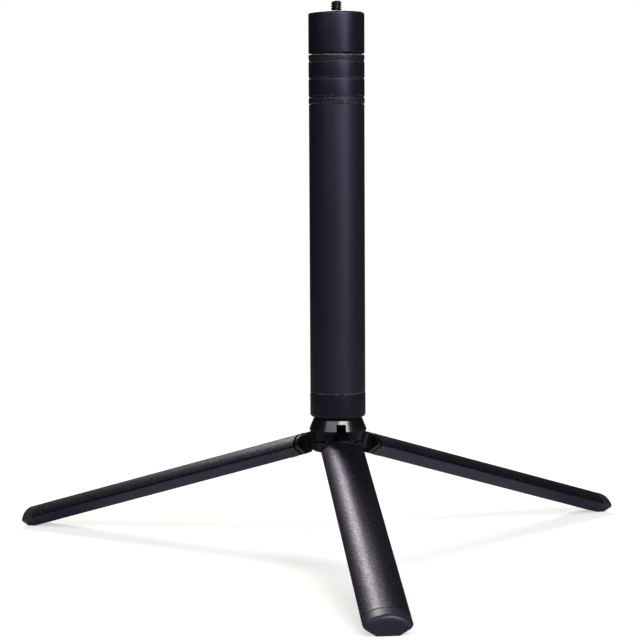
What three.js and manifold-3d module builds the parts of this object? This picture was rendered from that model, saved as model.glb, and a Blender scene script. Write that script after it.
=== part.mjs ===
// Folding three-leg stand with a telescoping pole and a 1/4"-20 stud on top.
// Millimetres, +Z up, the feet stand on z = 0. The front leg points to -Y.
import * as THREE from 'three';
import { mergeVertices } from 'three/addons/utils/BufferGeometryUtils.js';
import Module from 'manifold-3d';

const wasm = await Module();
wasm.setup();

// ---------- driving dimensions ----------
const GAP = 0.3;                        // clearance between touching pieces
const D2R = Math.PI / 180;

// legs
const LEG_SLOPE = 16.76 * D2R;          // below horizontal when spread
const LEG_R = 16.6;                     // outer arc of the leg section
const LEG_HALF = 50.5 * D2R;            // half angle of that arc
const LEG_SIDE = 6.05;                  // height of the flat sides under the arc's chord
const RIDGE_HALF = 4.0;                 // half width of the flat underneath
const LEG_WALL = 1.7;                   // extrusion wall
const LINE_Z = 56.64;                   // where the arc's centre line crosses the pole axis
const S_LEG0 = 21.1, S_LEG1 = 206.7;    // extrusion, measured along that line
const S_FOOT = 215.6;                   // end face of the foot cap
const FOOT_ROUND = 2.6;                 // rounding of the cap's upper end edge
const FLANGE_S = 17.8;                  // face of the knuckle's flange towards the hub
const FLANGE_END = 20.0;                // its other face, then a recessed neck
const NECK_INSET = 1.3;

// hinge
const PIN_R = 1.5, PIN_HALF = 7.8;      // hinge pin
const PIVOT_R = 10.5;                   // pin distance from the pole axis
const LUG_HALF = 2.4, LUG_EYE = 6.0;    // lug half width and eye radius
const SLOT_HALF = 2.75;                 // hub slot half width
const PIVOT_Z = LINE_Z + PIVOT_R * (1 - Math.sin(LEG_SLOPE)) / Math.cos(LEG_SLOPE);

// hub
const HUB_TOP = 77.3, HUB_TOP_R = 14.1;
const BELT_Z = 71.1, BELT_R = 16.6;     // edge between the cone and the belt
const HUB_BOTTOM = 64.5;
const YOKE_TOP = 64.2, YOKE_BOTTOM = 58.4, YOKE_R = 14.5;
const SLOT_TOP = 75.0;
const PLATE_SCREW_R = 9.5;              // pitch radius of the yoke's three screws

// pole
const POLE_R = 16.0, TUBE_R = 15.9, TUBE_RI = 14.6;
const BASE_Z0 = 78.4, BASE_Z1 = 92.0;
const TUBE_Z0 = 92.3, TUBE_Z1 = 257.6;
const COLLAR_Z0 = 257.9, COLLAR_Z1 = 285.7;
const HEAD_Z0 = 286.4, HEAD_Z1 = 309.7;
const STUD_TOP = 316.2;
const COLLAR_GROOVES = [[281.6, 283.1], [271.8, 272.9], [261.1, 262.4]];
const INNER_TOP = 285.4;                // top of the two middle tubes
const COLLET_BOTTOM = 235.8;            // stops the widest slide bush
const GROOVE_DEPTH = 0.4;
const T2 = [12.0, 11.1], T3 = [9.4, 8.5], T4 = [6.8, 5.9];   // inner tubes: outer, inner radius
const SEG = 36;                         // facets round the large cylinders
const SEG_S = 24;                       // facets round the small ones

// ---------- helpers ----------
function toManifold(geometry) {
  let g = geometry.clone();
  for (const key of Object.keys(g.attributes)) if (key !== 'position') g.deleteAttribute(key);
  if (!g.index) {
    const n = g.attributes.position.count;
    g.setIndex([...Array(n).keys()]);
  }
  g = mergeVertices(g, 1e-5);
  const pos = g.attributes.position.array;
  let idx = Array.from(g.index.array);
  // drop the triangles that a lathe collapses on its axis
  const keep = [];
  for (let i = 0; i < idx.length; i += 3) {
    const [a, b, c] = [idx[i], idx[i + 1], idx[i + 2]];
    if (a !== b && b !== c && a !== c) keep.push(a, b, c);
  }
  // signed volume, so that the faces point out
  let vol = 0;
  for (let i = 0; i < keep.length; i += 3) {
    const [a, b, c] = [keep[i] * 3, keep[i + 1] * 3, keep[i + 2] * 3];
    vol += pos[a] * (pos[b + 1] * pos[c + 2] - pos[b + 2] * pos[c + 1])
         - pos[a + 1] * (pos[b] * pos[c + 2] - pos[b + 2] * pos[c])
         + pos[a + 2] * (pos[b] * pos[c + 1] - pos[b + 1] * pos[c]);
  }
  if (vol < 0) for (let i = 0; i < keep.length; i += 3) [keep[i], keep[i + 1]] = [keep[i + 1], keep[i]];
  return new wasm.Manifold(new wasm.Mesh({
    numProp: 3, vertProperties: new Float32Array(pos), triVerts: new Uint32Array(keep),
  }));
}
function toGeometry(solid) {
  const m = solid.getMesh();
  const g = new THREE.BufferGeometry();
  const n = m.vertProperties.length / m.numProp;
  const p = new Float32Array(n * 3);
  for (let i = 0; i < n; i++) for (let k = 0; k < 3; k++) p[i * 3 + k] = m.vertProperties[i * m.numProp + k];
  g.setAttribute('position', new THREE.BufferAttribute(p, 3));
  g.setIndex(new THREE.BufferAttribute(new Uint32Array(m.triVerts), 1));
  g.computeVertexNormals();
  return g;
}
// solid of revolution about Z from [radius, z] points; a profile off the axis closes on itself
function lathe(points, seg = SEG, phase = 0) {
  const pts = points.map(([r, z]) => new THREE.Vector2(r, z));
  const onAxis = points[0][0] === 0 && points[points.length - 1][0] === 0;
  if (!onAxis) pts.push(pts[0].clone());
  const g = new THREE.LatheGeometry(pts, seg, phase);
  g.rotateX(Math.PI / 2);
  return toManifold(g);
}
function ring(r0, r1, z0, z1, seg = SEG) {
  return lathe([[r0, z0], [r1, z0], [r1, z1], [r0, z1]], seg);
}
function disc(r, z0, z1, seg = SEG) {
  return lathe([[0, z0], [r, z0], [r, z1], [0, z1]], seg);
}
// prism: outline in x,y pushed along +z
function prism(outline, depth) {
  const shape = new THREE.Shape(outline.map(([x, y]) => new THREE.Vector2(x, y)));
  return new THREE.ExtrudeGeometry(shape, { depth, bevelEnabled: false, steps: 1 });
}
// outline in (t, n) pushed along the leg's s axis, from s0 to s1
function alongLeg(outline, s0, s1) {
  const g = prism(outline, s1 - s0);
  g.applyMatrix4(new THREE.Matrix4().set(0, 0, 1, s0, 1, 0, 0, 0, 0, 1, 0, 0, 0, 0, 0, 1));
  return toManifold(g);
}
// outline in (s, n) pushed across the leg, from -half to +half in t
function acrossLeg(outline, half) {
  const g = prism(outline, 2 * half);
  g.applyMatrix4(new THREE.Matrix4().set(1, 0, 0, 0, 0, 0, 1, -half, 0, 1, 0, 0, 0, 0, 0, 1));
  return toManifold(g);
}
function box(x0, x1, y0, y1, z0, z1) {
  const g = new THREE.BoxGeometry(x1 - x0, y1 - y0, z1 - z0);
  g.translate((x0 + x1) / 2, (y0 + y1) / 2, (z0 + z1) / 2);
  return toManifold(g);
}
function turned(solid, angle) {
  return solid.rotate([0, 0, angle / D2R]);
}

// ---------- leg section ----------
function section(inset = 0, arcSteps = 18) {
  // arc of radius r, flat sides and ridge, all moved inwards by inset
  const chord = LEG_R * Math.cos(LEG_HALF), half = LEG_R * Math.sin(LEG_HALF);
  const dx = half - RIDGE_HALF, dy = LEG_SIDE, len = Math.hypot(dx, dy);
  const nx = -dy / len, ny = dx / len;              // inward normal of the right side
  const px = RIDGE_HALF + nx * inset, py = chord - LEG_SIDE + ny * inset;
  const ux = dx / len, uy = dy / len;
  const r = LEG_R - inset;
  // where the moved side meets the moved arc
  const bq = px * ux + py * uy, cq = px * px + py * py - r * r;
  const k = -bq + Math.sqrt(bq * bq - cq);
  const ang = Math.atan2(px + ux * k, py + uy * k);
  const pts = [];
  for (let i = 0; i <= arcSteps; i++) {
    const a = ang - (2 * ang * i) / arcSteps;
    pts.push([r * Math.sin(a), r * Math.cos(a)]);
  }
  const rn = chord - LEG_SIDE + inset;
  const k2 = (rn - py) / uy;
  const rx = px + ux * k2;
  pts.push([-rx, rn], [rx, rn]);
  return pts;
}
const RIDGE_N = LEG_R * Math.cos(LEG_HALF) - LEG_SIDE;
const PIVOT_S = PIVOT_R * Math.cos(LEG_SLOPE) - (PIVOT_Z - LINE_Z) * Math.sin(LEG_SLOPE);

// the leg's own frame: x along the leg, y across it, z out of its upper face
const legBasis = new THREE.Matrix4().makeBasis(
  new THREE.Vector3(0, -Math.cos(LEG_SLOPE), -Math.sin(LEG_SLOPE)),
  new THREE.Vector3(1, 0, 0),
  new THREE.Vector3(0, -Math.sin(LEG_SLOPE), Math.cos(LEG_SLOPE)),
);
legBasis.setPosition(0, 0, LINE_Z);
const legInverse = legBasis.clone().invert();
// a solid given in the stand's frame, seen from the front leg's frame
function intoLeg(solid) {
  const g = toGeometry(solid);
  g.applyMatrix4(legInverse);
  return toManifold(g);
}

// ---------- materials ----------
const M = (color, roughness, metalness) => new THREE.MeshStandardMaterial({ color, roughness, metalness });
const mat = {
  softTouch: () => M(0x17171d, 0.62, 0.0),
  anodised: () => M(0x1a1b22, 0.42, 0.75),
  gloss: () => M(0x0b0b0d, 0.14, 0.0),
  satin: () => M(0x17171c, 0.38, 0.2),
  legAlu: () => M(0x2a2a33, 0.5, 0.7),
  footPlastic: () => M(0x2c2c31, 0.6, 0.0),
  steel: () => M(0x8d8f93, 0.3, 1.0),
  blackSteel: () => M(0x1d1d20, 0.35, 0.9),
  brass: () => M(0xb59a5b, 0.35, 1.0),
  rubber: () => M(0x0f0f10, 0.85, 0.0),
  acetal: () => M(0x2b2b2b, 0.5, 0.0),
  tubeSteel: () => M(0xa9abae, 0.22, 1.0),
};
const stand = new THREE.Group();
function put(parent, name, solid, material) {
  const mesh = new THREE.Mesh(toGeometry(solid), material());
  mesh.name = name;
  parent.add(mesh);
  return mesh;
}

// ---------- leg pieces, in the leg's frame ----------
const eyeOutline = (() => {
  const pts = [];
  const top = PIVOT_R + LUG_EYE, k = 16;
  pts.push([16.5, top - 0.1], [PIVOT_S, top]);
  for (let i = 1; i < k; i++) {
    const a = Math.PI / 2 + (Math.PI * i) / k;
    pts.push([PIVOT_S + LUG_EYE * Math.cos(a), PIVOT_R + LUG_EYE * Math.sin(a)]);
  }
  pts.push([PIVOT_S, PIVOT_R - LUG_EYE], [15.5, RIDGE_N + 1.2], [19.2, RIDGE_N + 1.2], [19.2, top - 0.2]);
  return pts;
})();
const roundCut = (s, n, r, half) => {
  const g = new THREE.CylinderGeometry(r, r, 2 * half, SEG_S);
  g.translate(s, 0, n);
  return toManifold(g);
};
// the shoulders between the lug and the knuckle
const shoulder = (() => {
  const pts = [[13.2, 0], [13.2, LUG_HALF - 0.05], [14.6, LUG_HALF + 0.2], [15.8, LUG_HALF + 0.7],
    [16.8, LUG_HALF + 1.5], [17.8, LUG_HALF + 2.8], [18.6, LUG_HALF + 3.1]];
  const outline = [...pts, ...pts.slice(1).reverse().map(([x, y]) => [x, -y])];
  outline.shift();
  const g = prism(outline, 9.0);
  g.translate(0, 0, RIDGE_N + 2.2);
  return toManifold(g).intersect(alongLeg(section(), 5, 30));
})();
function knuckleSolid() {
  const body = alongLeg(section(0, 18), FLANGE_S, FLANGE_END);
  const lug = acrossLeg(eyeOutline, LUG_HALF).intersect(alongLeg(section(), 0, 30));
  const neck = alongLeg(section(NECK_INSET, 12), FLANGE_END - 1.5, S_LEG0 + 0.5);
  const plug = alongLeg(section(LEG_WALL + GAP, 12), S_LEG0 - 1, S_LEG0 + 13);
  const screwHole = (() => {
    const g = new THREE.CylinderGeometry(1.55, 1.55, 8, 20);
    g.rotateX(Math.PI / 2);
    g.translate(S_LEG0 + 6.5, 0, RIDGE_N + 3);
    return toManifold(g);
  })();
  const neckTrim = box(S_LEG0 - GAP, 60, -30, 30, -30, 30).subtract(alongLeg(section(LEG_WALL + GAP, 12), S_LEG0 - 5, 62));
  return body.add(shoulder).add(lug).add(neck).subtract(neckTrim).add(plug)
    .subtract(roundCut(PIVOT_S, PIVOT_R, PIN_R + GAP, 20)).subtract(screwHole);
}
function legSolid() {
  const hole = (() => {
    const g = new THREE.CylinderGeometry(1.6, 1.6, 6, 20);
    g.rotateX(Math.PI / 2);
    g.translate(S_LEG0 + 6.5, 0, RIDGE_N);
    const h = new THREE.CylinderGeometry(2.9, 2.9, 2, 20);
    h.rotateX(Math.PI / 2);
    h.translate(S_LEG0 + 6.5, 0, RIDGE_N - 1 + 0.9);
    return toManifold(g).add(toManifold(h));
  })();
  return alongLeg(section(0, 18), S_LEG0, S_LEG1)
    .subtract(alongLeg(section(LEG_WALL, 12), S_LEG0 - 1, S_LEG1 + 1)).subtract(hole);
}
function footSolid() {
  // the rounded end comes from turning a profile about the section's own centre line
  const prof = [[0, -S_FOOT], [LEG_R + 0.05 - FOOT_ROUND, -S_FOOT]];
  for (let i = 1; i <= 4; i++) {
    const a = (Math.PI / 2) * (i / 4);
    prof.push([LEG_R + 0.05 - FOOT_ROUND + FOOT_ROUND * Math.sin(a), -(S_FOOT - FOOT_ROUND + FOOT_ROUND * Math.cos(a))]);
  }
  prof.push([LEG_R + 0.05, -(S_LEG1 - 2)], [0, -(S_LEG1 - 2)]);
  const pts = prof.map(([r, z]) => new THREE.Vector2(r, z));
  const g = new THREE.LatheGeometry(pts, 48);
  g.rotateZ(Math.PI / 2);
  const end = toManifold(g);
  const cap = alongLeg(section(0, 18), S_LEG1 + GAP, S_FOOT).intersect(end);
  const plug = alongLeg(section(LEG_WALL + GAP, 12), S_LEG1 - 9, S_LEG1 + 2);
  const ground = intoLeg(box(-60, 60, -260, 0, -40, 0));
  return cap.add(plug).subtract(ground);
}
function legScrewSolid() {
  const g = lathe([[0, RIDGE_N - 0.2], [2.5, RIDGE_N - 0.2], [2.5, RIDGE_N + 0.1], [1.25, RIDGE_N + 0.7], [1.25, RIDGE_N + 6.2], [0, RIDGE_N + 6.2]], 20);
  const slot = box(-2.2, 2.2, -0.35, 0.35, RIDGE_N - 1, RIDGE_N + 0.35);
  return g.subtract(slot).translate([S_LEG0 + 6.5, 0, 0]);
}
const knuckle = knuckleSolid(), leg = legSolid(), foot = footSolid(), legScrew = legScrewSolid();
const LEGS = [['front', 0], ['right', 120], ['left', 240]];
for (const [side, angle] of LEGS) {
  const turn = new THREE.Group();
  turn.rotation.z = angle * D2R;
  const frame = new THREE.Group();
  frame.applyMatrix4(legBasis);
  turn.add(frame);
  stand.add(turn);
  put(frame, `knuckle_${side}`, knuckle, mat.gloss);
  put(frame, `leg_${side}`, leg, mat.legAlu);
  put(frame, `foot_cap_${side}`, foot, mat.footPlastic);
  put(frame, `leg_screw_${side}`, legScrew, mat.blackSteel);
  const pin = new THREE.CylinderGeometry(PIN_R, PIN_R, 2 * PIN_HALF, 24);
  pin.translate(PIVOT_S, 0, PIVOT_R);
  put(frame, `hinge_pin_${side}`, toManifold(pin), mat.steel);
}

// ---------- hub ----------
// slot outline in (x, z) for the front leg, wide at its lower end
const slotOutline = (() => {
  const right = [[SLOT_HALF, SLOT_TOP], [SLOT_HALF, 70.8], [3.2, 69.8], [4.0, 68.4], [5.3, 66.9], [7.0, 65.7], [8.4, 64.9], [8.4, 60]];
  return [...right, ...right.map(([x, z]) => [-x, z]).reverse()];
})();
function slotSolid(outline, y0, y1) {
  const g = prism(outline, y1 - y0);
  // outline x,y -> x,z ; depth -> y
  g.applyMatrix4(new THREE.Matrix4().set(1, 0, 0, 0, 0, 0, 1, y0, 0, 1, 0, 0, 0, 0, 0, 1));
  return toManifold(g);
}
const pinGroove = (() => {
  const g = new THREE.CylinderGeometry(PIN_R + GAP, PIN_R + GAP, 2 * PIN_HALF + 2 * GAP, 24);
  g.rotateZ(Math.PI / 2);
  g.translate(0, -PIVOT_R, PIVOT_Z);
  return toManifold(g);
})();
const screwAt = [60, 180, 300];
function hubSolid() {
  let hub = lathe([[3.5, HUB_BOTTOM + 4.5], [0, HUB_BOTTOM + 4.5]].slice(0, 1).concat([
    [3.5, HUB_TOP], [HUB_TOP_R - 0.3, HUB_TOP], [HUB_TOP_R, HUB_TOP - 0.3], [BELT_R, BELT_Z + 0.15], [BELT_R, BELT_Z - 0.15],
    [BELT_R - 0.3, BELT_Z - 0.35], [BELT_R - 0.45, 69.9], [15.75, 68.9], [15.3, 67.6], [14.8, 66.2], [14.45, 65.3], [14.0, 64.75], [13.5, HUB_BOTTOM],
    [0, HUB_BOTTOM], [0, HUB_BOTTOM + 4.5],
  ]), SEG);
  const wide = slotSolid(slotOutline, -30, -13.2);
  const narrow = box(-SLOT_HALF, SLOT_HALF, -30, -4.1, 50, SLOT_TOP);
  for (const [, angle] of LEGS) {
    hub = hub.subtract(turned(wide, angle * D2R)).subtract(turned(narrow, angle * D2R)).subtract(turned(pinGroove, angle * D2R));
  }
  const hole = disc(1.45, 60, 71.2, 16).translate([0, -PLATE_SCREW_R, 0]);
  for (const a of screwAt) hub = hub.subtract(turned(hole, a * D2R));
  return hub;
}
function yokeSolid() {
  let y = disc(1, 0, 1);
  y = lathe([[0, YOKE_BOTTOM], [YOKE_R - 0.8, YOKE_BOTTOM], [YOKE_R, YOKE_BOTTOM + 0.8], [YOKE_R, YOKE_TOP], [0, YOKE_TOP]], SEG);
  const narrow = box(-SLOT_HALF, SLOT_HALF, -30, -4.1, 50, 80);
  const wide = box(-8.4, 8.4, -30, -12.6, 50, 80);
  const hole = disc(1.45, 50, 70, 16).add(disc(2.6, 50, YOKE_BOTTOM + 1.5, 20)).translate([0, -PLATE_SCREW_R, 0]);
  for (const [, angle] of LEGS) {
    y = y.subtract(turned(narrow, angle * D2R)).subtract(turned(wide, angle * D2R)).subtract(turned(pinGroove, angle * D2R));
  }
  for (const a of screwAt) y = y.subtract(turned(hole, a * D2R));
  return y;
}
put(stand, 'hub_body', hubSolid(), mat.gloss);
put(stand, 'hub_yoke', yokeSolid(), mat.satin);
const plateScrew = lathe([[0, YOKE_BOTTOM + 0.1], [2.3, YOKE_BOTTOM + 0.1], [2.3, YOKE_BOTTOM + 1.2], [1.15, YOKE_BOTTOM + 1.2], [1.15, 70.8], [0, 70.8]], 20)
  .subtract(lathe([[0, YOKE_BOTTOM - 1], [1.1, YOKE_BOTTOM - 1], [1.1, YOKE_BOTTOM + 0.8], [0, YOKE_BOTTOM + 0.8]], 6))
  .translate([0, -PLATE_SCREW_R, 0]);
screwAt.forEach((a, i) => put(stand, `yoke_screw_${i + 1}`, turned(plateScrew, a * D2R), mat.blackSteel));
put(stand, 'hub_stud', disc(3.15, 69.4, 90.5, 24), mat.steel);
put(stand, 'base_washer', ring(3.6, 13.3, HUB_TOP + GAP, BASE_Z0 - GAP, 28), mat.rubber);

// ---------- pole ----------
put(stand, 'base_cap', lathe([
  [6.3, BASE_Z0], [POLE_R - 2.0, BASE_Z0], [POLE_R - 1.1, BASE_Z0 + 0.25], [POLE_R - 0.4, BASE_Z0 + 0.9], [POLE_R, BASE_Z0 + 2.0],
  [POLE_R, BASE_Z1 - 0.2], [POLE_R - 0.2, BASE_Z1], [TUBE_RI - GAP, BASE_Z1], [TUBE_RI - GAP, 103.4], [13.0, 103.4], [13.0, 95.4], [6.3, 95.4],
]), mat.anodised);
put(stand, 'base_insert', lathe([[3.5, BASE_Z0 + 0.3], [6.0, BASE_Z0 + 0.3], [6.0, 95.7], [7.6, 95.7], [7.6, 97.2], [3.5, 97.2]], 24), mat.brass);
put(stand, 'outer_tube', ring(TUBE_RI, TUBE_R, TUBE_Z0, TUBE_Z1), mat.anodised);
put(stand, 'lock_collet', (() => {
  let c = lathe([[12.35, COLLET_BOTTOM], [TUBE_RI - GAP, COLLET_BOTTOM], [TUBE_RI - GAP, TUBE_Z1 - 0.7], [13.8, TUBE_Z1 + 0.1], [13.8, COLLAR_Z1 - 6.3],
    [13.0, COLLAR_Z1 - 3.5], [12.35, COLLAR_Z1 - 3.5]], SEG);
  for (let i = 0; i < 2; i++) c = c.subtract(turned(box(-0.6, 0.6, -20, 20, COLLAR_Z0 + 4, COLLAR_Z1 + 5), (45 + 90 * i) * D2R));
  return c;
})(), mat.acetal);
put(stand, 'lock_collar', (() => {
  const p = [[14.15, COLLAR_Z0], [POLE_R - 0.3, COLLAR_Z0], [POLE_R, COLLAR_Z0 + 0.3]];
  for (const [a, b] of [...COLLAR_GROOVES].reverse()) {
    p.push([POLE_R, a], [POLE_R - GROOVE_DEPTH, a + 0.15], [POLE_R - GROOVE_DEPTH, b - 0.15], [POLE_R, b]);
  }
  p.push([POLE_R, COLLAR_Z1 - 0.5], [POLE_R - 0.5, COLLAR_Z1], [12.4, COLLAR_Z1], [12.4, COLLAR_Z1 - 2.3], [14.15, COLLAR_Z1 - 3.7]);
  return lathe(p, SEG);
})(), mat.anodised);
// nested tubes, all pushed home
put(stand, 'tube_2', ring(T2[1], T2[0], 104.6, INNER_TOP, 28), mat.tubeSteel);
put(stand, 'tube_3', ring(T3[1], T3[0], 106.0, INNER_TOP, 28), mat.tubeSteel);
put(stand, 'tube_4', ring(T4[1], T4[0], 107.4, HEAD_Z1 - 12.0, 28), mat.tubeSteel);
put(stand, 'slide_bush_2', ring(T2[0] + GAP, TUBE_RI - GAP, 104.9, 117.0, 28), mat.acetal);
put(stand, 'slide_bush_3', ring(T3[0] + GAP, T2[1] - GAP, 106.3, 117.0, 28), mat.acetal);
put(stand, 'slide_bush_4', ring(T4[0] + GAP, T3[1] - GAP, 107.7, 117.0, 28), mat.acetal);
put(stand, 'guide_ring_2', ring(T3[0] + GAP, T2[1] - GAP, INNER_TOP - 10, INNER_TOP, 28), mat.acetal);
put(stand, 'guide_ring_3', ring(T4[0] + GAP, T3[1] - GAP, INNER_TOP - 10, INNER_TOP, 28), mat.acetal);
// head
put(stand, 'head_core', lathe([
  [T4[0] + GAP, HEAD_Z0 + 0.4], [12.7, HEAD_Z0 + 0.4], [12.7, HEAD_Z1 - 4.3], [3.45, HEAD_Z1 - 4.3], [3.45, HEAD_Z1 - 7.6], [T4[0] + GAP, HEAD_Z1 - 7.6],
], 28), mat.acetal);
put(stand, 'head_cap', lathe([
  [13.0, HEAD_Z0 + 0.1], [POLE_R - 0.5, HEAD_Z0], [POLE_R, HEAD_Z0 + 0.5], [POLE_R, HEAD_Z1 - 1.7], [POLE_R - 0.25, HEAD_Z1 - 0.85],
  [POLE_R - 0.85, HEAD_Z1 - 0.25], [POLE_R - 1.7, HEAD_Z1], [3.5, HEAD_Z1], [3.5, HEAD_Z1 - 4.0], [13.0, HEAD_Z1 - 4.0],
]), mat.softTouch);
put(stand, 'head_stud', (() => {
  // 1/4"-20: major 6.35, pitch 1.27
  const p = [[0, HEAD_Z1 - 11.7], [5.5, HEAD_Z1 - 11.7], [5.5, HEAD_Z1 - 7.9], [3.15, HEAD_Z1 - 7.9], [3.15, HEAD_Z1 + 0.35]];
  let z = HEAD_Z1 + 0.55;
  while (z + 1.27 < STUD_TOP) {
    p.push([2.5, z + 0.25], [3.15, z + 0.88]);
    z += 1.27;
  }
  p.push([2.5, STUD_TOP - 0.2], [2.3, STUD_TOP], [0, STUD_TOP]);
  return lathe(p, 20);
})(), mat.blackSteel);

// ---------- place the feet's footprint on the origin ----------
const part = new THREE.Group();
part.add(stand);
part.updateMatrixWorld(true);
const bounds = new THREE.Box3().setFromObject(part, true);
stand.position.y = -(bounds.min.y + bounds.max.y) / 2;
part.updateMatrixWorld(true);

export default part;
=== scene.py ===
import math

import bmesh
import bpy
from mathutils import Matrix, Vector


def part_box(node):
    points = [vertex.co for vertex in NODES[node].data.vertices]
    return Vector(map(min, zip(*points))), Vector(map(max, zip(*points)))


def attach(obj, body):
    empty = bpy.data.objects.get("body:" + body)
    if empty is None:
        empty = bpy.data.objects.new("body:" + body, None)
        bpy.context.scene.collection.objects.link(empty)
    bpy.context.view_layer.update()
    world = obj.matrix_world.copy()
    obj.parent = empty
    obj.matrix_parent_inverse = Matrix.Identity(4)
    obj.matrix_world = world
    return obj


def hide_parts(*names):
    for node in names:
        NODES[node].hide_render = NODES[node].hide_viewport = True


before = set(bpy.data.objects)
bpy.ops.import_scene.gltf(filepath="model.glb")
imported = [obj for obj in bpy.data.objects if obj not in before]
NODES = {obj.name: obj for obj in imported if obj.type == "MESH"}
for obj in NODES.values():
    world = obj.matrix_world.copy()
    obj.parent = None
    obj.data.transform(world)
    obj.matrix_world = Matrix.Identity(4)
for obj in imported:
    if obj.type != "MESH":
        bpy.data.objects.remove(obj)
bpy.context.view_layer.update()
scene = bpy.context.scene
MM = 0.001
pi = math.pi
rad = math.radians

# ---------------------------------------------------------------------------
# sizes, in millimetres, as in the CAD; the pole's place comes from the frame
# ---------------------------------------------------------------------------
_lo, _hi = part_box("outer_tube")
AXIS_Y = (_lo.y + _hi.y) / 2          # metres
SLOPE = rad(16.76)
LEG_R, LEG_HALF, LEG_SIDE, RIDGE_HALF = 16.6, rad(50.5), 6.05, 4.0
LEG_WALL, LINE_Z = 1.7, 56.64
S_LEG0, S_LEG1, S_FOOT, FOOT_ROUND = 21.1, 206.7, 215.6, 2.6
FLANGE_S, FLANGE_END, NECK_INSET = 17.8, 20.0, 1.3
GAP, PIN_R, PIN_HALF, PIVOT_R = 0.3, 1.5, 7.8, 10.5
LUG_HALF, LUG_EYE, SLOT_HALF, SLOT_TOP = 2.4, 6.0, 2.75, 75.0
PIVOT_Z = LINE_Z + PIVOT_R * (1 - math.sin(SLOPE)) / math.cos(SLOPE)
PIVOT_S = PIVOT_R * math.cos(SLOPE) - (PIVOT_Z - LINE_Z) * math.sin(SLOPE)
RIDGE_N = LEG_R * math.cos(LEG_HALF) - LEG_SIDE
SIDES = (("front", 0.0), ("right", 120.0), ("left", 240.0))


def zr(node):
    lo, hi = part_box(node)
    return lo.z / MM, hi.z / MM


HUB_BOTTOM, HUB_TOP = zr("hub_body")
YOKE_BOTTOM, YOKE_TOP = zr("hub_yoke")
BASE_Z0, _ = zr("base_cap")
BASE_Z1 = 92.0
TUBE_Z0, TUBE_Z1 = zr("outer_tube")
COLLAR_Z0, COLLAR_Z1 = zr("lock_collar")
HEAD_Z0, HEAD_Z1 = zr("head_cap")
_, STUD_TOP = zr("head_stud")
POLE_R, TUBE_R, TUBE_RI = 16.0, 15.9, 14.6

# ---------------------------------------------------------------------------
# mesh helpers (all work in millimetres until place())
# ---------------------------------------------------------------------------


def raw(name, verts, faces):
    me = bpy.data.meshes.new(name)
    me.from_pydata([tuple(v) for v in verts], [], faces)
    bm = bmesh.new()
    bm.from_mesh(me)
    bmesh.ops.recalc_face_normals(bm, faces=bm.faces)
    bm.to_mesh(me)
    bm.free()
    ob = bpy.data.objects.new(name, me)
    scene.collection.objects.link(ob)
    return ob


def rounded(points, n=5):
    """closed outline of (x, y, fillet radius)"""
    out, m = [], len(points)
    for i, p in enumerate(points):
        x, y = p[0], p[1]
        r = p[2] if len(p) > 2 else 0.0
        if r <= 0:
            out.append((x, y))
            continue
        a = Vector((points[i - 1][0] - x, points[i - 1][1] - y)).normalized()
        b = Vector((points[(i + 1) % m][0] - x, points[(i + 1) % m][1] - y)).normalized()
        ang = a.angle(b)
        c = Vector((x, y)) + (a + b).normalized() * (r / math.sin(ang / 2))
        t = r / math.tan(ang / 2)
        s, e = Vector((x, y)) + a * t, Vector((x, y)) + b * t
        a0 = math.atan2(s.y - c.y, s.x - c.x)
        a1 = math.atan2(e.y - c.y, e.x - c.x)
        d = (a1 - a0 + pi) % (2 * pi) - pi
        for k in range(n + 1):
            q = a0 + d * k / n
            out.append((c.x + r * math.cos(q), c.y + r * math.sin(q)))
    return out


def lathe(name, prof, seg=128):
    verts, rings, faces = [], [], []
    for r, z in prof:
        if r < 1e-9:
            rings.append([len(verts)])
            verts.append((0, 0, z))
        else:
            rings.append(list(range(len(verts), len(verts) + seg)))
            verts += [(r * math.cos(2 * pi * i / seg), r * math.sin(2 * pi * i / seg), z) for i in range(seg)]
    n = len(prof)
    closed = prof[0][0] > 1e-9 and prof[-1][0] > 1e-9
    for k in range(n if closed else n - 1):
        a, b = rings[k], rings[(k + 1) % n]
        if len(a) == 1 and len(b) == 1:
            continue
        for i in range(seg):
            j = (i + 1) % seg
            if len(a) == 1:
                faces.append((a[0], b[j], b[i]))
            elif len(b) == 1:
                faces.append((a[i], a[j], b[0]))
            else:
                faces.append((a[i], a[j], b[j], b[i]))
    return raw(name, verts, faces)


def prism(name, outline, d0, d1, to3):
    """outline pushed from d0 to d1; to3(x, y, d) gives the point"""
    m = len(outline)
    verts = [to3(x, y, d0) for x, y in outline] + [to3(x, y, d1) for x, y in outline]
    faces = [tuple(range(m)), tuple(range(2 * m - 1, m - 1, -1))]
    faces += [(i, (i + 1) % m, m + (i + 1) % m, m + i) for i in range(m)]
    return raw(name, verts, faces)


def applied(ob):
    dg = bpy.context.evaluated_depsgraph_get()
    me = bpy.data.meshes.new_from_object(ob.evaluated_get(dg))
    old = ob.data
    ob.modifiers.clear()
    ob.data = me
    bpy.data.meshes.remove(old)
    return ob


def drop(ob):
    me = ob.data
    bpy.data.objects.remove(ob)
    bpy.data.meshes.remove(me)


def boolean(ob, cutter, op="DIFFERENCE"):
    m = ob.modifiers.new("b", "BOOLEAN")
    m.operation, m.object, m.solver = op, cutter, "EXACT"
    bpy.context.view_layer.update()
    applied(ob)
    drop(cutter)
    return ob


def tidy(ob, dist=0.004):
    bm = bmesh.new()
    bm.from_mesh(ob.data)
    bmesh.ops.remove_doubles(bm, verts=bm.verts, dist=dist)
    bmesh.ops.dissolve_degenerate(bm, dist=dist, edges=bm.edges)
    loose = [v for v in bm.verts if not v.link_faces]
    bmesh.ops.delete(bm, geom=loose, context="VERTS")
    bmesh.ops.recalc_face_normals(bm, faces=bm.faces)
    bm.to_mesh(ob.data)
    bm.free()
    return ob


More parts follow.
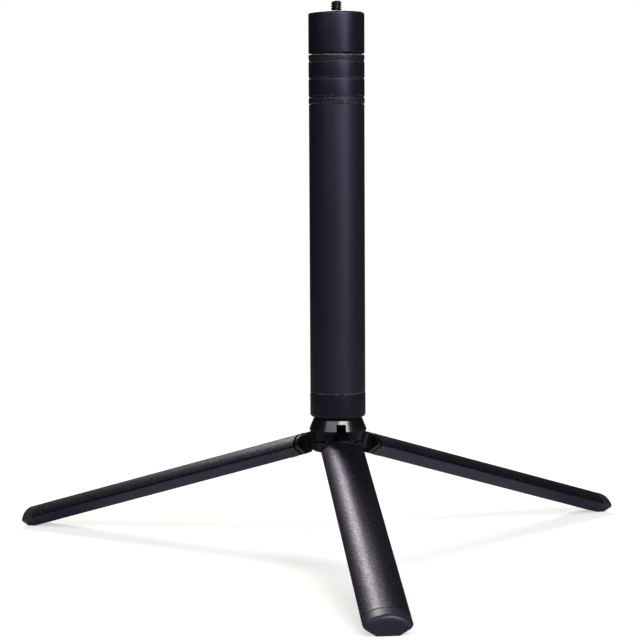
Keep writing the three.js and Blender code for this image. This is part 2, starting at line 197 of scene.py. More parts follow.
def bevelled(ob, width, segments=2, angle=32):
    m = ob.modifiers.new("v", "BEVEL")
    m.width, m.segments = width, segments
    m.limit_method, m.angle_limit = "ANGLE", rad(angle)
    m.use_clamp_overlap = False
    m.loop_slide = True
    m.miter_outer = "MITER_ARC"
    bpy.context.view_layer.update()
    was = [Vector(c) for c in ob.bound_box]
    applied(ob)
    now = [v.co for v in ob.data.vertices]
    for k in range(3):
        lo, hi = min(c[k] for c in was), max(c[k] for c in was)
        if min(v[k] for v in now) < lo - 0.02 or max(v[k] for v in now) > hi + 0.02:
            print("bevel grew", ob.name, k, lo, hi, min(v[k] for v in now), max(v[k] for v in now))
    return ob


def shade(ob, angle=38, weighted=False):
    me = ob.data
    for p in me.polygons:
        p.use_smooth = True
    me.set_sharp_from_angle(angle=rad(angle))
    if weighted:
        m = ob.modifiers.new("w", "WEIGHTED_NORMAL")
        m.keep_sharp, m.weight = True, 80
        bpy.context.view_layer.update()
        applied(ob)
    return ob


def edge_attribute(ob):
    """0..1 on convex edges, so that a finish can wear there"""
    bm = bmesh.new()
    bm.from_mesh(ob.data)
    val = [0.0] * len(bm.verts)
    for e in bm.edges:
        if len(e.link_faces) == 2:
            a = math.degrees(e.calc_face_angle_signed(0.0))
            for v in e.verts:
                val[v.index] = max(val[v.index], a)
    bm.free()
    at = ob.data.attributes.new("edge", "FLOAT", "POINT")
    at.data.foreach_set("value", [min(1.0, max(0.0, (a - 8.0) / 16.0)) for a in val])


def place(ob, matrix, body, nodes, material):
    """millimetres to metres, into the frame, riding on its body"""
    ob.data.transform(matrix @ Matrix.Scale(MM, 4))
    edge_attribute(ob)
    ob.data.materials.clear()
    ob.data.materials.append(material)
    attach(ob, body)
    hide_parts(*nodes)
    return ob


STAND = Matrix.Translation((0, AXIS_Y, 0))


def leg_matrix(angle):
    basis = Matrix((
        (0, 1, 0, 0),
        (-math.cos(SLOPE), 0, -math.sin(SLOPE), 0),
        (-math.sin(SLOPE), 0, math.cos(SLOPE), LINE_Z * MM),
        (0, 0, 0, 1),
    ))
    return STAND @ Matrix.Rotation(rad(angle), 4, "Z") @ basis


LEG_INV = (Matrix.Translation((0, -AXIS_Y, 0)) @ leg_matrix(0))
LEG_INV = Matrix((
    (LEG_INV[0][0], LEG_INV[0][1], LEG_INV[0][2], 0),
    (LEG_INV[1][0], LEG_INV[1][1], LEG_INV[1][2], 0),
    (LEG_INV[2][0], LEG_INV[2][1], LEG_INV[2][2], LINE_Z),
    (0, 0, 0, 1),
)).inverted()                        # stand's millimetres -> leg's millimetres


def section(inset=0.0, fillet=0.9, ridge_fillet=0.8, arc=56, nf=6, arc_r=None):
    """outline of the leg in (t, n): an arc over two flat sides and a ridge, corners rounded"""
    chord, half = LEG_R * math.cos(LEG_HALF), LEG_R * math.sin(LEG_HALF)
    dx, dy = half - RIDGE_HALF, LEG_SIDE
    ln = math.hypot(dx, dy)
    nx, ny, ux, uy = -dy / ln, dx / ln, dx / ln, dy / ln

    def corner(i, r):
        px, py = RIDGE_HALF + nx * i, chord - LEG_SIDE + ny * i
        b = px * ux + py * uy
        c = px * px + py * py - r * r
        k = -b + math.sqrt(b * b - c)
        return px + ux * k, py + uy * k

    f, g = max(fillet - inset, 0.02), max(ridge_fillet - inset, 0.02)
    r = LEG_R - inset if arc_r is None else min(arc_r, LEG_R - inset)
    cx, cy = corner(inset + f, r - f)
    a0 = math.atan2(cx, cy)
    pts = []
    for i in range(arc + 1):
        a = a0 - 2 * a0 * i / arc
        pts.append((r * math.sin(a), r * math.cos(a)))
    # corner on the left, from the arc's direction to the side's outward normal
    q0 = math.atan2(math.cos(-a0), math.sin(-a0))
    q1 = math.atan2(-ny, nx)
    d = (q1 - q0) % (2 * pi)
    left = [(-cx + f * math.cos(q0 + d * k / nf), cy + f * math.sin(q0 + d * k / nf)) for k in range(1, nf + 1)]
    rn = chord - LEG_SIDE + inset
    py = chord - LEG_SIDE + ny * (inset + g)
    k2 = (rn + g - py) / uy
    rx = RIDGE_HALF + nx * (inset + g) + ux * k2
    d2 = (-pi / 2 - q1) % (2 * pi)
    ridge = [(-rx + g * math.cos(q1 + d2 * k / nf), rn + g + g * math.sin(q1 + d2 * k / nf)) for k in range(0, nf + 1)]
    low = left + ridge
    return pts + low + [(-x, y) for x, y in reversed(low)]


def skin(name, loops, closed=False):
    """loops of equal length joined in order; capped unless closed"""
    m, n = len(loops[0]), len(loops)
    verts = [p for lp in loops for p in lp]
    faces = []
    for k in range(n if closed else n - 1):
        a, b = k * m, ((k + 1) % n) * m
        faces += [(a + i, a + (i + 1) % m, b + (i + 1) % m, b + i) for i in range(m)]
    if not closed:
        faces += [tuple(range(m)), tuple(range(n * m - 1, (n - 1) * m - 1, -1))]
    return raw(name, verts, faces)


def leg_loop(outline, s):
    return [(s, t, n) for t, n in outline]


def cyl(name, r, p0, p1, seg=48):
    """cylinder between two points"""
    p0, p1 = Vector(p0), Vector(p1)
    w = (p1 - p0).normalized()
    u = w.orthogonal().normalized()
    v = w.cross(u)
    a = [p0 + (u * math.cos(2 * pi * i / seg) + v * math.sin(2 * pi * i / seg)) * r for i in range(seg)]
    return skin(name, [a, [q + (p1 - p0) for q in a]])


# ---------------------------------------------------------------------------
# finishes
# ---------------------------------------------------------------------------


TINT = (0.689, 0.667, 1.000, 1.0)           # the dye gives the black parts a blue-violet sheen


class Finish:
    def __init__(self, name):
        self.m = bpy.data.materials.new(name)
        self.m.use_nodes = True
        self.t = self.m.node_tree
        self.b = self.t.nodes["Principled BSDF"]
        self.tc = self.t.nodes.new("ShaderNodeTexCoord")

    def link(self, a, b):
        self.t.links.new(a, b)

    def coord(self, scale=(1, 1, 1)):
        n = self.t.nodes.new("ShaderNodeMapping")
        n.inputs["Scale"].default_value = scale
        self.link(self.tc.outputs["Object"], n.inputs["Vector"])
        return n.outputs["Vector"]

    def noise(self, scale, detail=2.0, rough=0.5, stretch=(1, 1, 1), distortion=0.0):
        n = self.t.nodes.new("ShaderNodeTexNoise")
        n.inputs["Scale"].default_value = scale
        n.inputs["Detail"].default_value = detail
        n.inputs["Roughness"].default_value = rough
        n.inputs["Distortion"].default_value = distortion
        self.link(self.coord(stretch), n.inputs["Vector"])
        return n.outputs["Fac"]

    def cells(self, scale, feature="F1"):
        n = self.t.nodes.new("ShaderNodeTexVoronoi")
        n.feature = feature
        n.inputs["Scale"].default_value = scale
        self.link(self.coord(), n.inputs["Vector"])
        return n.outputs["Distance"]

    def span(self, value, a, b, lo, hi):
        n = self.t.nodes.new("ShaderNodeMapRange")
        n.inputs["From Min"].default_value, n.inputs["From Max"].default_value = a, b
        n.inputs["To Min"].default_value, n.inputs["To Max"].default_value = lo, hi
        self.link(value, n.inputs["Value"])
        return n.outputs["Result"]

    def math(self, op, a, b=None):
        n = self.t.nodes.new("ShaderNodeMath")
        n.operation = op
        for i, v in enumerate((a, b)):
            if v is None:
                continue
            if isinstance(v, (int, float)):
                n.inputs[i].default_value = v
            else:
                self.link(v, n.inputs[i])
        return n.outputs[0]

    def mix(self, fac, a, b):
        n = self.t.nodes.new("ShaderNodeMix")
        n.data_type = "RGBA"
        for sock, v in ((n.inputs[0], fac), (n.inputs[6], a), (n.inputs[7], b)):
            if hasattr(v, "is_output"):
                self.link(v, sock)
            else:
                sock.default_value = v if isinstance(v, float) else (*v, 1.0)
        return n.outputs[2]

    def bump(self, height, distance, strength=1.0, after=None):
        n = self.t.nodes.new("ShaderNodeBump")
        n.inputs["Strength"].default_value = strength
        n.inputs["Distance"].default_value = distance
        self.link(height, n.inputs["Height"])
        if after is not None:
            self.link(after, n.inputs["Normal"])
        return n.outputs["Normal"]

    def wear(self, scale=700, low=0.35, high=0.75):
        """edge attribute broken up by noise"""
        a = self.t.nodes.new("ShaderNodeAttribute")
        a.attribute_name = "edge"
        return self.math("MULTIPLY", a.outputs["Fac"], self.span(self.noise(scale, 3), low, high, 0.0, 1.0))

    def out(self, colour=None, rough=None, normal=None, metallic=None, **fixed):
        if colour is not None:
            self.link(colour, self.b.inputs["Base Color"])
        if rough is not None:
            self.link(rough, self.b.inputs["Roughness"])
        if metallic is not None:
            self.link(metallic, self.b.inputs["Metallic"])
        if normal is not None:
            self.link(normal, self.b.inputs["Normal"])
        for k, v in fixed.items():
            self.b.inputs[k.replace("_", " ")].default_value = v
        return self.m


def soft_touch(name, dark, light, r0, r1, spec=0.5):
    f = Finish(name)
    grain = f.noise(2600, 3, 0.6)
    cloud = f.noise(60, 3, 0.55)
    col = f.mix(f.span(cloud, 0.3, 0.7, 0.0, 1.0), dark, light)
    col = f.mix(f.math("MULTIPLY", f.wear(), 0.35), col, tuple(3.0 * c for c in light))
    n = f.bump(grain, 0.00003, 0.55)
    rough = f.math("ADD", f.span(cloud, 0.25, 0.75, r0, r1), f.span(grain, 0.3, 0.7, -0.03, 0.03))
    return f.out(col, rough, n, Specular_IOR_Level=spec, Specular_Tint=TINT)


def turned_metal(name, dark, light, r0, r1, stretch, spec=0.5, lines=0.00002, wear=0.4, bare=(0.10, 0.10, 0.11)):
    """dyed metal with the fine lines of its last machining"""
    f = Finish(name)
    line = f.noise(260, 4, 0.65, stretch)
    cloud = f.noise(45, 3, 0.5)
    fine = f.noise(3000, 2)
    col = f.mix(f.span(line, 0.3, 0.7, 0.0, 1.0), dark, light)
    col = f.mix(f.math("MULTIPLY", f.wear(), wear), col, bare)
    n = f.bump(line, lines, 0.5)
    n = f.bump(fine, 0.000012, 0.4, n)
    rough = f.math("ADD", f.span(cloud, 0.25, 0.75, r0, r1), f.span(line, 0.3, 0.7, -0.03, 0.03))
    return f.out(col, rough, n, Specular_IOR_Level=spec, Specular_Tint=TINT)


def gloss(name, dark, light, r0, r1, spec=0.5):
    """glossy coat with a faint orange peel and a few dull patches"""
    f = Finish(name)
    peel = f.noise(420, 2, 0.5)
    cloud = f.noise(110, 4, 0.6)
    col = f.mix(f.span(cloud, 0.35, 0.7, 0.0, 1.0), dark, light)
    col = f.mix(f.math("MULTIPLY", f.wear(900, 0.45, 0.8), 0.2), col, (0.09, 0.09, 0.10))
    n = f.bump(peel, 0.000012, 0.35)
    return f.out(col, f.span(cloud, 0.3, 0.7, r0, r1), n, Specular_IOR_Level=spec, Specular_Tint=(0.85, 0.85, 1.0, 1.0))


def hub_coat(name, cone_a, cone_b, belt_a, belt_b, r0, r1, belt_rough):
    """polished cone over a duller belt; inside the slots the darker, rougher belt coat is painted shade"""
    f = Finish(name)
    peel = f.noise(420, 2, 0.5)
    cloud = f.noise(110, 4, 0.6)
    xyz = f.t.nodes.new("ShaderNodeSeparateXYZ")
    f.link(f.tc.outputs["Object"], xyz.inputs[0])
    y = f.math("SUBTRACT", xyz.outputs["Y"], AXIS_Y)
    rr = f.math("SQRT", f.math("ADD", f.math("MULTIPLY", xyz.outputs["X"], xyz.outputs["X"]), f.math("MULTIPLY", y, y)))
    # cone mask: 0 inside 11.5 mm from the axis, rising to 1 at 13 mm, so the slot walls take the darker belt colour as
    # painted shade of the recess
    cone = f.math("MULTIPLY", f.span(xyz.outputs["Z"], 0.0709, 0.0713, 0.0, 1.0), f.span(rr, 0.0115, 0.0130, 0.0, 1.0))
    puff = f.span(cloud, 0.35, 0.7, 0.0, 1.0)
    col = f.mix(cone, f.mix(puff, belt_a, belt_b), f.mix(puff, cone_a, cone_b))
    col = f.mix(f.math("MULTIPLY", f.wear(900, 0.45, 0.8), 0.4), col, (0.16, 0.155, 0.16))
    n = f.bump(peel, 0.000012, 0.35)
    shine = f.span(cloud, 0.3, 0.7, r0, r1)
    rough = f.math("ADD", shine, f.math("MULTIPLY", f.math("SUBTRACT", 1.0, cone), belt_rough - r0))
    return f.out(col, rough, n, Metallic=0.92, Specular_IOR_Level=0.2)


def blasted(name):
    """dyed aluminium: a sparkling blasted grain on the arc, smoother satin on the flat sides with a bluer tone painted
    on as a cool light cast, and painted shade darkening the rounded corners
    """
    f = Finish(name)
    grain = f.noise(950, 2, 0.6)
    fleck = f.noise(1300, 1, 0.5)
    cell = f.cells(1100)
    cloud = f.noise(35, 3)
    flat = f.t.nodes.new("ShaderNodeAttribute")
    flat.attribute_name = "flat"
    # corner mask: picks out the rounding between arc and flat sides, used only for painted shade
    corner = f.t.nodes.new("ShaderNodeAttribute")
    corner.attribute_name = "corner"
    arc = f.math("SUBTRACT", 1.0, flat.outputs["Fac"])
    spark = f.math("MULTIPLY", f.span(fleck, 0.47, 0.68, 0.0, 1.0), f.span(cell, 0.1, 0.6, 1.0, 0.3))
    spark = f.math("MULTIPLY", spark, f.span(arc, 0.0, 1.0, 0.12, 1.0))
    puff = f.span(grain, 0.32, 0.68, 0.0, 1.0)
    col = f.mix(puff, (0.021, 0.0200, 0.0375), (0.040, 0.0385, 0.0650))
    # painted cool cast: the downward-facing flat sides get a bluer tone than the arc, in place of a cool light from
    # below
    col = f.mix(flat.outputs["Fac"], col, f.mix(puff, (0.0215, 0.0225, 0.056), (0.0265, 0.0275, 0.068)))
    col = f.mix(spark, col, (0.205, 0.195, 0.255))
    # painted shade: the corner rounding darkened to near black, standing in for the dark horizon it reflects
    col = f.mix(f.math("MULTIPLY", corner.outputs["Fac"], 0.85), col, (0.004, 0.004, 0.007))
    col = f.mix(f.math("MULTIPLY", f.wear(), 0.3), col, (0.14, 0.135, 0.155))
    n = f.bump(grain, 0.00006, 0.6)
    rough = f.math("ADD", f.span(cloud, 0.3, 0.7, 0.40, 0.45), f.math("MULTIPLY", f.span(grain, 0.3, 0.7, 0.05, -0.05), arc))
    return f.out(col, rough, n, Metallic=1.0, Specular_IOR_Level=0.5)


def moulded(name, dark, light, r0, r1, grain_scale=1800, depth=0.00005, spec=0.5, tint=(1.0, 1.0, 1.0, 1.0)):
    f = Finish(name)
    grain = f.noise(grain_scale, 3, 0.6)
    cloud = f.noise(90, 3)
    col = f.mix(f.span(cloud, 0.3, 0.7, 0.0, 1.0), dark, light)
    col = f.mix(f.math("MULTIPLY", f.wear(500), 0.5), col, tuple(2.2 * c for c in light))
    n = f.bump(grain, depth, 0.5)
    return f.out(col, f.span(grain, 0.3, 0.7, r0, r1), n, Specular_IOR_Level=spec, Specular_Tint=tint)


def steel(name, a, b, r0, r1, stretch=(1, 1, 30), wear=0.3):
    f = Finish(name)
    line = f.noise(300, 4, 0.6, stretch)
    cloud = f.noise(80, 3)
    col = f.mix(f.span(line, 0.3, 0.7, 0.0, 1.0), a, b)
    col = f.mix(f.math("MULTIPLY", f.wear(), wear), col, (0.45, 0.45, 0.46))
    n = f.bump(line, 0.00001, 0.4)
    return f.out(col, f.span(cloud, 0.3, 0.7, r0, r1), n, Metallic=1.0)


M_HEAD = soft_touch("soft_black_finish", (0.0045, 0.0045, 0.0080), (0.0060, 0.0060, 0.0105), 0.35, 0.41, 0.42)
M_COLLAR = turned_metal("collar_finish", (0.0045, 0.0045, 0.0085), (0.0065, 0.0065, 0.0110), 0.36, 0.42, (0.25, 0.25, 14), 0.41, wear=1.6, bare=(0.24, 0.22, 0.21))
M_TUBE = turned_metal("tube_finish", (0.0055, 0.0055, 0.0100), (0.0075, 0.0075, 0.0130), 0.43, 0.49, (2.5, 2.5, 0.05), 0.39, lines=0.000008, wear=0.9, bare=(0.20, 0.19, 0.19))
M_BASE = turned_metal("base_finish", (0.0040, 0.0040, 0.0075), (0.0055, 0.0055, 0.0095), 0.40, 0.46, (0.25, 0.25, 14), 0.22)
M_HUB = hub_coat("hub_gloss_with_painted_slot_shade", (0.044, 0.0415, 0.0445), (0.056, 0.053, 0.057), (0.0085, 0.0085, 0.0120), (0.0120, 0.0120, 0.0160), 0.19, 0.24, 0.36)
M_KNUCKLE = gloss("knuckle_gloss_finish", (0.0015, 0.0015, 0.0024), (0.0028, 0.0028, 0.0040), 0.20, 0.26, 0.24)
M_YOKE = moulded("yoke_satin_finish", (0.005, 0.005, 0.008), (0.008, 0.008, 0.012), 0.36, 0.46, 2200, 0.00002, 0.26, TINT)
M_LEG = blasted("blasted_leg_with_painted_shade")
M_FOOT = moulded("foot_cap_finish", (0.0095, 0.0100, 0.0180), (0.0130, 0.0136, 0.0240), 0.36, 0.45, spec=0.36, tint=(0.78, 0.77, 1.0, 1.0))
M_BLACK_STEEL = steel("black_steel_finish", (0.018, 0.018, 0.020), (0.035, 0.035, 0.038), 0.30, 0.40)
M_STEEL = steel("bright_steel_finish", (0.42, 0.42, 0.43), (0.55, 0.55, 0.56), 0.22, 0.32)
M_STAGE = steel("stage_steel_finish", (0.46, 0.46, 0.47), (0.60, 0.60, 0.61), 0.18, 0.28, (3, 3, 0.06))
M_BRASS = steel("insert_brass_finish", (0.52, 0.36, 0.14), (0.66, 0.48, 0.20), 0.25, 0.38)
M_RUBBER = moulded("rubber_finish", (0.006, 0.006, 0.007), (0.010, 0.010, 0.011), 0.75, 0.9, 1200, 0.00006)
M_ACETAL = moulded("acetal_finish", (0.020, 0.020, 0.022), (0.030, 0.030, 0.032), 0.42, 0.55, 2600, 0.00002)

CARRIED = {
    "bright_steel": M_STEEL, "insert_brass": M_BRASS, "acetal_grey": M_ACETAL, "rubber_black": M_RUBBER,
    "stage_steel": M_STAGE, "black_steel": M_BLACK_STEEL,
}
GROUPS = {
    M_STEEL: ["hub_stud"],
    M_BLACK_STEEL: [f"hinge_pin_{s}" for s, _ in SIDES],
    M_BRASS: ["base_insert"],
    M_ACETAL: ["lock_collet", "slide_bush_2", "slide_bush_3", "slide_bush_4", "head_core"],
}
for finish, names in GROUPS.items():
    for nm in names:
        ob = NODES[nm]
        if not ob.material_slots:
            ob.data.materials.append(finish)
        for sl in ob.material_slots:
            sl.material = finish

# ---------------------------------------------------------------------------
# head
# ---------------------------------------------------------------------------
head = lathe("head_shell", rounded([
    (13.0, HEAD_Z0 + 0.1, 0), (POLE_R, HEAD_Z0, 0.45), (POLE_R, HEAD_Z1, 1.5),
    (4.15, HEAD_Z1, 0.2), (3.5, HEAD_Z1 - 0.6, 0), (3.5, HEAD_Z1 - 4.0, 0), (13.0, HEAD_Z1 - 4.0, 0),
], 8), 160)
place(shade(head), STAND, "stage_4", ["head_cap"], M_HEAD)


def stud_mesh(name):
    """1/4"-20 stud: one real helix, with its run-out and a chamfered tip"""
    pitch, major, minor, seg = 1.27, 3.15, 2.5, 64
    z0, z1 = HEAD_Z1 + 0.35, STUD_TOP
    verts, rings = [(0, 0, HEAD_Z1 - 11.7)], [[0]]

    def ring(rs, zs):
        rings.append(list(range(len(verts), len(verts) + seg)))
        for i in range(seg):
            verts.append((rs[i] * math.cos(2 * pi * i / seg), rs[i] * math.sin(2 * pi * i / seg), zs))

    for r, z in ((5.4, HEAD_Z1 - 11.7), (5.5, HEAD_Z1 - 11.6), (5.5, HEAD_Z1 - 8.0), (5.4, HEAD_Z1 - 7.9), (2.9, HEAD_Z1 - 7.9), (2.9, z0 - 0.3)):
        ring([r] * seg, z)
    rows = 66
    for k in range(rows + 1):
        z = z0 + (z1 - z0) * k / rows
        rs = []
        for i in range(seg):
            p = ((z - z0) / pitch - i / seg) % 1.0
            tri = abs(p - 0.5) * 2                       # 0 at the root, 1 at the crest
            h = min(1.0, max(0.0, (tri - 0.22) / 0.62))
            r = minor + (major - minor) * h
            grow = min(1.0, max(0.0, (z - z0) / 0.7))
            r = minor + (r - minor) * grow
            rs.append(min(r, 2.25 + (z1 - z) * 1.15))
        ring(rs, z)
    rings.append([len(verts)])
    verts.append((0, 0, z1))
    faces = []
    for a, b in zip(rings, rings[1:]):
        for i in range(seg):
            j = (i + 1) % seg
            if len(a) == 1:
                faces.append((a[0], b[j], b[i]))
            elif len(b) == 1:
                faces.append((a[i], a[j], b[0]))
            else:
                faces.append((a[i], a[j], b[j], b[i]))
    return raw(name, verts, faces)


place(shade(stud_mesh("head_stud_thread"), 50), STAND, "stage_4", ["head_stud"], M_BLACK_STEEL)

# ---------------------------------------------------------------------------
# collar, tube, base
# ---------------------------------------------------------------------------
GROOVES = [(281.6, 283.1), (271.8, 272.9), (261.1, 262.4)]
prof = [(14.15, COLLAR_Z0, 0), (POLE_R, COLLAR_Z0, 0.3)]
for a, b in reversed(GROOVES):
    prof += [(POLE_R, a, 0.25), (POLE_R - 0.28, a + 0.12, 0.08), (POLE_R - 0.28, b - 0.12, 0.08), (POLE_R, b, 0.25)]
prof += [(POLE_R, COLLAR_Z1, 0.45), (12.4, COLLAR_Z1, 0.25), (12.4, COLLAR_Z1 - 2.3, 0), (14.15, COLLAR_Z1 - 3.7, 0)]
place(shade(lathe("lock_collar_body", rounded(prof, 5), 160)), STAND, "collar", ["lock_collar"], M_COLLAR)

place(shade(lathe("outer_tube_skin", rounded([
    (TUBE_RI, TUBE_Z0, 0.1), (TUBE_R - 0.3, TUBE_Z0, 0), (TUBE_R, TUBE_Z0 + 0.35, 0), (TUBE_R, TUBE_Z0 + 0.7, 0), (TUBE_R, TUBE_Z1, 0.2), (TUBE_RI, TUBE_Z1, 0.1)], 9), 160)),
    STAND, "stand", ["outer_tube"], M_TUBE)

place(shade(lathe("base_cap_body", rounded([
    (6.3, BASE_Z0, 0.3), (POLE_R, BASE_Z0, 1.7), (POLE_R, BASE_Z1, 0.25), (TUBE_RI - GAP, BASE_Z1, 0),
    (TUBE_RI - GAP, 103.4, 0.3), (13.0, 103.4, 0), (13.0, 95.4, 0), (6.3, 95.4, 0)], 8), 160)),
    STAND, "stand", ["base_cap"], M_BASE)

place(shade(lathe("base_washer_ring", rounded([
    (3.6, HUB_TOP + GAP, 0.05), (13.3, HUB_TOP + GAP, 0.15), (13.3, BASE_Z0 - GAP, 0.15), (3.6, BASE_Z0 - GAP, 0.05)], 3), 96)),
    STAND, "stand", ["base_washer"], M_RUBBER)

# inner stages: seen when the pole is pulled out
for nm, ro, ri, z0, z1, body in (
    ("tube_2", 12.0, 11.1, *zr("tube_2"), "stage_2"),
    ("tube_3", 9.4, 8.5, *zr("tube_3"), "stage_3"),
    ("tube_4", 6.8, 5.9, *zr("tube_4"), "stage_4"),
):
    place(shade(lathe(nm + "_skin", rounded([(ri, z0, 0.1), (ro, z0, 0.25), (ro, z1, 0.35), (ri, z1, 0.1)], 4), 96)),
          STAND, body, [nm], M_STAGE)
for nm, body in (("guide_ring_2", "stage_2"), ("guide_ring_3", "stage_3")):
    lo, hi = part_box(nm)
    ro = (hi.x - lo.x) / 2 / MM
    ri = {"guide_ring_2": 9.7, "guide_ring_3": 7.1}[nm]
    place(shade(lathe(nm + "_lip", rounded([(ri, lo.z / MM, 0.1), (ro, lo.z / MM, 0.2), (ro, hi.z / MM, 0.2), (ri, hi.z / MM, 0.35)], 4), 96)),
          STAND, body, [nm], M_ACETAL)

# ---------------------------------------------------------------------------
# hub and yoke
# ---------------------------------------------------------------------------


def smooth_line(points, per=5):
    """Catmull-Rom through the points"""
    out = []
    p = [points[0]] + list(points) + [points[-1]]
    for i in range(1, len(p) - 2):
        for k in range(per):
            t = k / per
            q = []
            for c in range(2):
                a, b, d, e = p[i - 1][c], p[i][c], p[i + 1][c], p[i + 2][c]
                q.append(0.5 * (2 * b + (d - a) * t + (2 * a - 5 * b + 4 * d - e) * t * t + (3 * b - a - 3 * d + e) * t ** 3))
            out.append(tuple(q))
    out.append(points[-1])
    return out


def slot_cutter(y0, y1, outline, angle):
    ob = prism("cut", outline, y0, y1, lambda x, z, d: (x, d, z))
    ob.data.transform(Matrix.Rotation(rad(angle), 4, "Z"))
    return ob


bell = smooth_line([(2.75, 70.8), (3.2, 69.8), (4.0, 68.4), (5.3, 66.9), (7.0, 65.7), (8.4, 64.9)], 5)
wide_outline = [(2.75, SLOT_TOP)] + bell + [(8.4, 55.0)]
wide_outline = wide_outline + [(-x, z) for x, z in reversed(wide_outline)]

hub = lathe("hub_body_gloss", rounded([
    (0, HUB_BOTTOM, 0), (13.5, HUB_BOTTOM, 0), (14.0, 64.75, 0.2), (14.45, 65.3, 0.5), (14.8, 66.2, 0), (15.3, 67.6, 0), (15.75, 68.9, 0),
    (16.15, 69.9, 0), (16.35, 70.75, 0), (16.6, 71.1, 0.3), (14.1, HUB_TOP, 0.35), (3.5, HUB_TOP, 0.2), (3.5, 69.0, 0), (0, 69.0, 0)], 4), 144)
for _, ang in SIDES:
    boolean(hub, slot_cutter(-30, -13.2, wide_outline, ang))
    boolean(hub, slot_cutter(-31, -4.1, [(2.75, SLOT_TOP), (2.75, 50), (-2.75, 50), (-2.75, SLOT_TOP)], ang))
    pin = cyl("cut", PIN_R + GAP, (-PIN_HALF - GAP, -PIVOT_R, PIVOT_Z), (PIN_HALF + GAP, -PIVOT_R, PIVOT_Z), 32)
    pin.data.transform(Matrix.Rotation(rad(ang), 4, "Z"))
    boolean(hub, pin)
for ang in (60, 180, 300):
    hole = cyl("cut", 1.45, (0, -9.5, 55), (0, -9.5, 71.2), 32)
    hole.data.transform(Matrix.Rotation(rad(ang), 4, "Z"))
    boolean(hub, hole)
bevelled(tidy(hub), 0.22, 2, 34)
place(shade(hub, 40, True), STAND, "stand", ["hub_body"], M_HUB)

yoke = lathe("hub_yoke_plate", rounded([
    (0, YOKE_BOTTOM, 0), (14.5, YOKE_BOTTOM, 1.0), (14.5, YOKE_TOP, 0.15), (0, YOKE_TOP, 0)], 5), 144)
for _, ang in SIDES:
    boolean(yoke, slot_cutter(-31, -4.1, [(2.75, 90), (2.75, 50), (-2.75, 50), (-2.75, 90)], ang))
    boolean(yoke, slot_cutter(-30, -12.6, [(8.4, 90), (8.4, 50), (-8.4, 50), (-8.4, 90)], ang))
    pin = cyl("cut", PIN_R + GAP, (-PIN_HALF - GAP, -PIVOT_R, PIVOT_Z), (PIN_HALF + GAP, -PIVOT_R, PIVOT_Z), 32)
    pin.data.transform(Matrix.Rotation(rad(ang), 4, "Z"))
    boolean(yoke, pin)
for ang in (60, 180, 300):
    for r, top in ((1.45, 80), (2.6, YOKE_BOTTOM + 1.5)):
        hole = cyl("cut", r, (0, -9.5, 50), (0, -9.5, top), 32)
        hole.data.transform(Matrix.Rotation(rad(ang), 4, "Z"))
        boolean(yoke, hole)
bevelled(tidy(yoke), 0.2, 2, 34)
place(shade(yoke, 40, True), STAND, "stand", ["hub_yoke"], M_YOKE)

# socket screws under the yoke
for i, ang in enumerate((60, 180, 300)):
    zb = YOKE_BOTTOM + 0.1
    sc = lathe(f"yoke_screw_head_{i + 1}", rounded([
        (0, zb, 0), (2.3, zb, 0.3), (2.3, zb + 1.1, 0.05), (1.15, zb + 1.1, 0), (1.15, 70.8, 0.2), (0, 70.8, 0)], 4), 64)
    hexa = prism("cut", [(1.1 * math.cos(k * pi / 3), 1.1 * math.sin(k * pi / 3)) for k in range(6)], 50, zb + 0.7, lambda x, y, d: (x, y, d))
    boolean(sc, hexa)
    sc.data.transform(Matrix.Translation((0, -9.5, 0)))
    sc.data.transform(Matrix.Rotation(rad(ang), 4, "Z"))
    bevelled(tidy(sc), 0.06, 2, 40)
    place(shade(sc, 40, True), STAND, "stand", [f"yoke_screw_{i + 1}"], M_BLACK_STEEL)

# ---------------------------------------------------------------------------
# legs
# ---------------------------------------------------------------------------


def leg_extrusion():
    loops = []
    for inset, s in ((0.22, S_LEG0), (0.06, S_LEG0 + 0.06), (0.0, S_LEG0 + 0.22)):
        loops.append(leg_loop(section(inset), s))
    for k in range(1, 12):
        loops.append(leg_loop(section(0.0), S_LEG0 + (S_LEG1 - S_LEG0) * k / 12))
    for inset, s in ((0.0, S_LEG1 - 0.22), (0.06, S_LEG1 - 0.06), (0.22, S_LEG1)):
        loops.append(leg_loop(section(inset), s))
    loops.append(leg_loop(section(LEG_WALL), S_LEG1))
    loops.append(leg_loop(section(LEG_WALL), S_LEG0))
    ob = skin("leg_profile", loops, closed=True)
    s = S_LEG0 + 6.5
    boolean(ob, cyl("cut", 1.6, (s, 0, RIDGE_N - 3), (s, 0, RIDGE_N + 3), 40))
    boolean(ob, cyl("cut", 2.9, (s, 0, RIDGE_N - 3), (s, 0, RIDGE_N + 0.9), 48))
    return shade(tidy(ob), 38, True)


